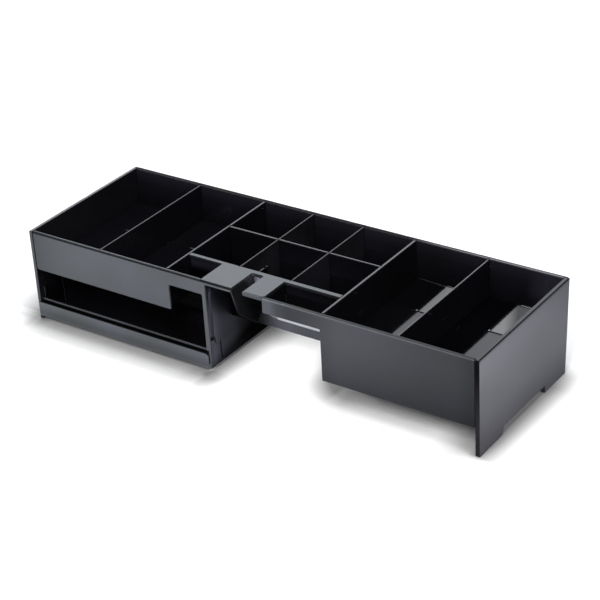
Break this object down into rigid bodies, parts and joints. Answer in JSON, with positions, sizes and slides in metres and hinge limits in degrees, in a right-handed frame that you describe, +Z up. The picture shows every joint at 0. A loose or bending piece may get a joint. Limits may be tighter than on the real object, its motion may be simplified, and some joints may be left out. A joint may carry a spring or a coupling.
{
  "type": "cash drawer insert",
  "caption": "Black plastic cash drawer tray with note compartments, coin cells, front coin cups, a lock cut-out and a low front bin; its thin dividers lift out.",
  "frame": {"origin": "centre of the footprint, on the surface that the insert stands on", "axes": "+X along the length, towards the end with the deep closed block; +Y from the front to the rear; +Z up"},
  "size_m": [0.45, 0.149, 0.0875],
  "materials": {
    "shell_plastic": "glossy black moulded plastic",
    "tray_plastic": "glossy black moulded plastic",
    "divider_plastic": "glossy black moulded plastic"
  },
  "bodies": {
    "tray": {"bin_floor": "tray_plastic", "bin_front_lip": "tray_plastic", "bin_left_wall": "tray_plastic", "bin_rear_wall": "tray_plastic", "bin_skirt": "shell_plastic", "block_side_panel": "tray_plastic", "coin_floor": "tray_plastic", "coin_front_wall": "tray_plastic", "coin_side_wall_left": "tray_plastic", "cup_floor_left": "tray_plastic", "cup_floor_right": "tray_plastic", "cup_side_wall_right": "tray_plastic", "front_facing_left": "shell_plastic", "front_panel_right": "shell_plastic", "front_wall_left": "shell_plastic", "left_end_panel": "shell_plastic", "lock_bridge": "shell_plastic", "lock_gusset": "tray_plastic", "lock_rib": "tray_plastic", "lock_side_panel": "shell_plastic", "note_floor_left": "tray_plastic", "note_floor_right": "tray_plastic", "rear_panel": "shell_plastic", "right_end_panel": "shell_plastic"},
    "note_divider_left": {"note_divider_left": "divider_plastic"},
    "note_divider_right": {"note_divider_right": "divider_plastic"},
    "coin_row_divider": {"coin_row_divider": "divider_plastic"},
    "coin_column_divider_left": {"coin_column_divider_left": "divider_plastic"},
    "coin_column_divider_right": {"coin_column_divider_right": "divider_plastic"}
  },
  "joints": [
    {"name": "note_divider_left_lift", "type": "slide", "parent": "tray", "child": "note_divider_left", "axis": [0, 0, 1], "range_m": [0, 0.045]},
    {"name": "note_divider_right_lift", "type": "slide", "parent": "tray", "child": "note_divider_right", "axis": [0, 0, 1], "range_m": [0, 0.045]},
    {"name": "coin_row_divider_lift", "type": "slide", "parent": "tray", "child": "coin_row_divider", "axis": [0, 0, 1], "range_m": [0, 0.055]},
    {"name": "coin_column_divider_left_lift", "type": "slide", "parent": "coin_row_divider", "child": "coin_column_divider_left", "axis": [0, 0, 1], "range_m": [0, 0.055]},
    {"name": "coin_column_divider_right_lift", "type": "slide", "parent": "coin_row_divider", "child": "coin_column_divider_right", "axis": [0, 0, 1], "range_m": [0, 0.055]}
  ]
}
